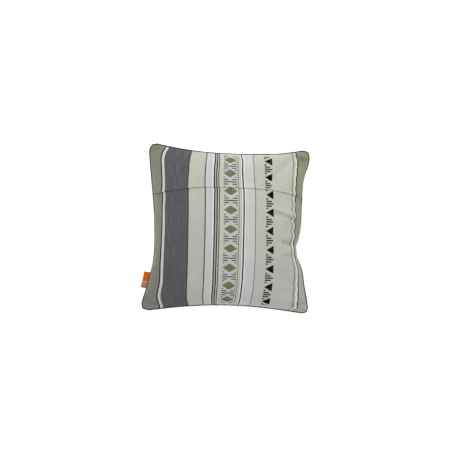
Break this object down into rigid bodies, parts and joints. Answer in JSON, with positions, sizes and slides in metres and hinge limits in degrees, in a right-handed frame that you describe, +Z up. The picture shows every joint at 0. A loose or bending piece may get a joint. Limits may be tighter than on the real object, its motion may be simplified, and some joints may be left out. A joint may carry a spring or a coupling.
{
  "type": "embroidered cushion",
  "caption": "Square filled scatter cushion with a lapped, hemmed back panel, drawn-in sides, woven stripes, embroidered geometric bands and a folded side label.",
  "frame": {"origin": "on the surface it rests on, under the middle of the whole footprint", "axes": "+Z up, out of the lapped and embroidered face; +Y to the side that the lapped panel covers; +X to the right of that face"},
  "size_m": [0.4358, 0.4406, 0.132],
  "materials": {
    "cushion": "woven cotton cover over a soft filling, matt",
    "flap": "woven cotton panel with a stitched hem, matt",
    "label": "folded orange tape, plain"
  },
  "bodies": {
    "root": {"cushion": "cushion", "flap": "flap", "label": "label"}
  },
  "joints": []
}
